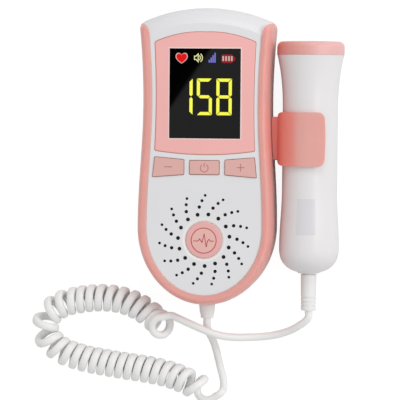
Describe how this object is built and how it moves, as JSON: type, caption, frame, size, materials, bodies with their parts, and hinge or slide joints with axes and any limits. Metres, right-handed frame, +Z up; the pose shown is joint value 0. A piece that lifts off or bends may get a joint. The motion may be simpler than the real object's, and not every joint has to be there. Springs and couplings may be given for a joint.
{
  "type": "fetal doppler monitor",
  "caption": "Handheld fetal heartbeat monitor lying on its back: lit screen, push keys, spiral speaker grille, side clip holding a probe, and a curly cord joining probe and handset.",
  "frame": {"origin": "on the surface that the object lies on, under the middle of the handset and the held probe, the free cord left out", "axes": "+Z up out of the screen, +Y towards the top of the handset, +X towards the probe"},
  "size_m": [0.1464, 0.1855, 0.0321],
  "materials": {
    "case_pink": "fine satin",
    "shell_white": "smooth",
    "panel_pink": "satin",
    "key_pink": "satin",
    "clip_pink": "satin",
    "lens_black": "polished",
    "cord_white": "smooth",
    "sleeve_white": "smooth",
    "face_grey": "smooth",
    "board_green": "solder mask",
    "spring_steel": "nickel plated",
    "mat_rubber": "matte",
    "cell_wrap": "printed sleeve, plain",
    "module_grey": "matte"
  },
  "bodies": {
    "root": {"rear_shell": "case_pink", "front_shell": "shell_white", "display_bezel": "panel_pink", "display_lens": "lens_black", "display_module": "module_grey", "keypad_membrane": "mat_rubber", "speaker_badge": "panel_pink", "speaker": "module_grey", "main_board": "board_green", "battery_cell_left": "cell_wrap", "battery_cell_right": "cell_wrap", "battery_spring_left": "spring_steel", "battery_spring_right": "spring_steel", "contact_link": "spring_steel", "contact_left": "spring_steel", "contact_right": "spring_steel", "case_screw_1": "spring_steel", "case_screw_2": "spring_steel", "case_screw_3": "spring_steel", "case_screw_4": "spring_steel", "cord_boot": "sleeve_white", "probe_clip": "clip_pink", "monitor_lead": "cord_white", "curly_cord": "cord_white", "probe_lead": "cord_white"},
    "minus_key": {"minus_button": "key_pink"},
    "power_key": {"power_button": "key_pink"},
    "plus_key": {"plus_button": "key_pink"},
    "door": {"battery_door": "case_pink"},
    "probe": {"probe_housing": "shell_white", "probe_cap": "clip_pink", "probe_face": "face_grey", "crystal_send": "face_grey", "crystal_receive": "face_grey", "probe_board": "board_green", "probe_sleeve": "sleeve_white"}
  },
  "joints": [
    {"name": "minus_press", "type": "slide", "parent": "root", "child": "minus_key", "axis": [0, 0, -1], "range_m": [0, 0.0008], "stiffness_N_per_m": 900},
    {"name": "power_press", "type": "slide", "parent": "root", "child": "power_key", "axis": [0, 0, -1], "range_m": [0, 0.0008], "stiffness_N_per_m": 900},
    {"name": "plus_press", "type": "slide", "parent": "root", "child": "plus_key", "axis": [0, 0, -1], "range_m": [0, 0.0008], "stiffness_N_per_m": 900},
    {"name": "door_slide", "type": "slide", "parent": "root", "child": "door", "axis": [0, -1, 0], "range_m": [0, 0.0125]},
    {"name": "probe_release", "type": "slide", "parent": "root", "child": "probe", "axis": [1, 0, 0], "range_m": [0, 0.024], "deforming": ["probe_lead"]}
  ]
}
